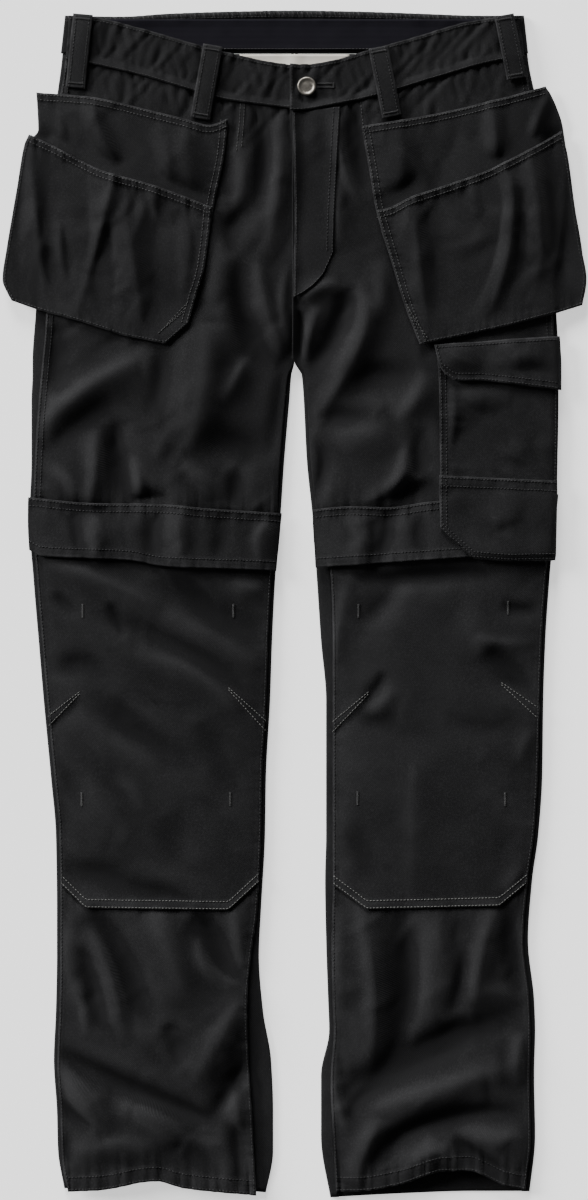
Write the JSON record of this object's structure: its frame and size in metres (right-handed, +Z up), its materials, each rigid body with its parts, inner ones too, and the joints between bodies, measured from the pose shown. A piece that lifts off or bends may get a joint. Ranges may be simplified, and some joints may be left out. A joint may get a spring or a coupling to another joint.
{
  "type": "work trousers",
  "caption": "Black canvas work trousers laid flat, front up, with hanging tool pockets, doubled knees, thigh bands and a cargo pocket on the left thigh.",
  "frame": {"origin": "centre of the garment's box, on the surface that it lies on", "axes": "+X to the wearer's left (the picture's right), +Y from the hems to the waist, +Z up out of the front"},
  "size_m": [0.5734, 1.1681, 0.0172],
  "materials": {
    "black_canvas": "washed black cotton canvas, matt, with a fine twill weave and seams worn to dark grey",
    "band_facing": "smooth dark facing of the inner waistband, faintly blue",
    "pale_tape": "plain off-white cotton, bare",
    "button_steel": "aged silver-grey tack button with a raised rim"
  },
  "bodies": {
    "root": {"back_panel_left": "black_canvas", "back_panel_right": "black_canvas", "belt_loop_front_left": "black_canvas", "belt_loop_front_right": "black_canvas", "belt_loop_side_left": "black_canvas", "belt_loop_side_right": "black_canvas", "cargo_flap": "black_canvas", "cargo_pocket": "black_canvas", "fly": "black_canvas", "front_panel_left": "black_canvas", "front_panel_right": "black_canvas", "holster_bag_left": "black_canvas", "holster_bag_right": "black_canvas", "holster_rear_left": "black_canvas", "holster_rear_right": "black_canvas", "knee_panel_left": "black_canvas", "knee_panel_right": "black_canvas", "shin_panel_left": "black_canvas", "shin_panel_right": "black_canvas", "thigh_band_left": "black_canvas", "thigh_band_right": "black_canvas", "tool_pocket": "black_canvas", "waist_button": "button_steel", "waist_label": "pale_tape", "waistband_back": "black_canvas", "waistband_facing": "band_facing", "waistband_front_left": "black_canvas", "waistband_front_right": "black_canvas"}
  },
  "joints": []
}
